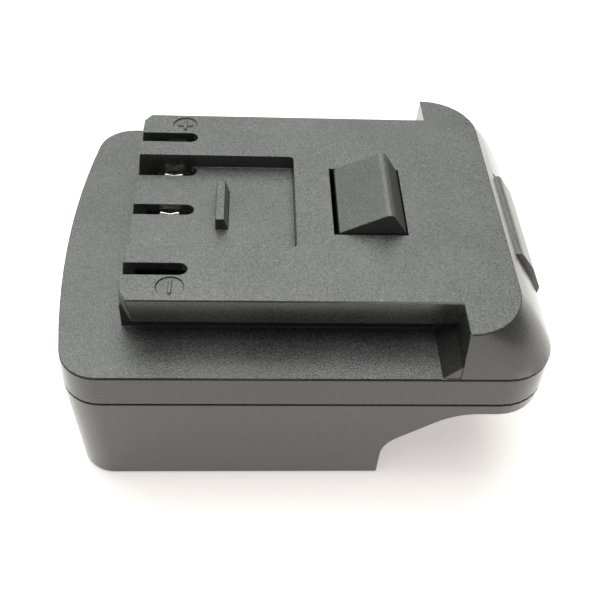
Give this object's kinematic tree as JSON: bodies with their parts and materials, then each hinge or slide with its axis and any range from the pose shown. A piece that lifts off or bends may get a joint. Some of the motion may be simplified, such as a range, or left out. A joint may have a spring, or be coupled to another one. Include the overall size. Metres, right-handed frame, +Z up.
{
  "type": "tool battery adapter",
  "caption": "Tool battery adapter: slide-on rail block with terminal slots, rocker latch and release button above, and an open pack receptacle with contact blades below.",
  "frame": {"origin": "centre of the bounding box at its bottom, on the face that the adapter stands on", "axes": "+X along the rails towards the release button, +Z up through the rail block, +Y to the positive slot"},
  "size_m": [0.1042, 0.08, 0.0519],
  "materials": {
    "case_plastic": "fine spark-eroded grain",
    "lower_plastic": "fine spark-eroded grain",
    "latch_plastic": "fine grain, smoother than the case",
    "spring_steel": "drawn wire",
    "contact_metal": "bright plated strip",
    "board_laminate": "green solder mask",
    "resistor_body": "printed chip",
    "screw_steel": "zinc plated",
    "holder_plastic": "moulded",
    "blade_metal": "plated strip",
    "lead_red": "soft insulation",
    "lead_yellow": "soft insulation",
    "lead_black": "soft insulation"
  },
  "bodies": {
    "case": {"upper_case": "case_plastic", "lower_case": "lower_plastic", "latch_spring_near": "spring_steel", "latch_spring_far": "spring_steel", "contact_positive": "contact_metal", "contact_signal_a": "contact_metal", "contact_signal_b": "contact_metal", "contact_negative": "contact_metal", "circuit_board": "board_laminate", "id_resistors": "resistor_body", "board_screws": "screw_steel", "blade_holder": "holder_plastic", "blade_positive": "blade_metal", "blade_signal": "blade_metal", "blade_negative": "blade_metal", "blade_holder_screws": "screw_steel", "lead_positive": "lead_red", "lead_signal": "lead_yellow", "lead_negative": "lead_black", "case_screws": "screw_steel"},
    "latch": {"release_latch": "latch_plastic"}
  },
  "joints": [
    {"name": "latch_rock", "type": "hinge", "parent": "case", "child": "latch", "pos_m": [0.04475, 0, 0.0305], "axis": [0, -1, 0], "range_deg": [0, 10], "stiffness_Nm_per_rad": 0.3, "springref_deg": -8.59, "deforming": ["latch_spring_near", "latch_spring_far"]}
  ]
}
